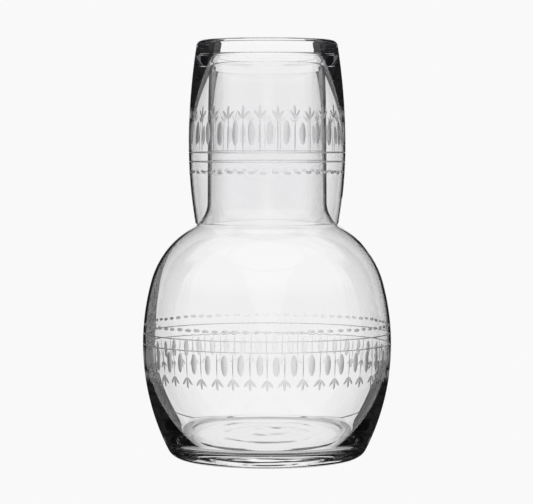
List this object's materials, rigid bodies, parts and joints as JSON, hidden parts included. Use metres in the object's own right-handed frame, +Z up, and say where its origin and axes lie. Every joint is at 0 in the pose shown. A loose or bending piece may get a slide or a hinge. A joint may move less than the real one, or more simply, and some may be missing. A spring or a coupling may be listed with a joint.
{
  "type": "carafe with tumbler lid",
  "caption": "Clear glass carafe with a round belly and straight neck, covered by an upturned barrel-shaped tumbler that rests on the shoulder and lifts off.",
  "frame": {"origin": "on the axis at the underside of the carafe's base", "axes": "+Z up along the common axis of carafe and tumbler; the pieces are round, so X and Y are free"},
  "size_m": [0.1178, 0.1178, 0.1982],
  "materials": {
    "crystal": "fire-polished, with fine wheel-cut lines"
  },
  "bodies": {
    "carafe": {"carafe": "crystal"},
    "tumbler": {"tumbler": "crystal"}
  },
  "joints": [
    {"name": "tumbler_lift", "type": "slide", "parent": "carafe", "child": "tumbler", "axis": [0, 0, 1], "range_m": [0, 0.1]}
  ]
}
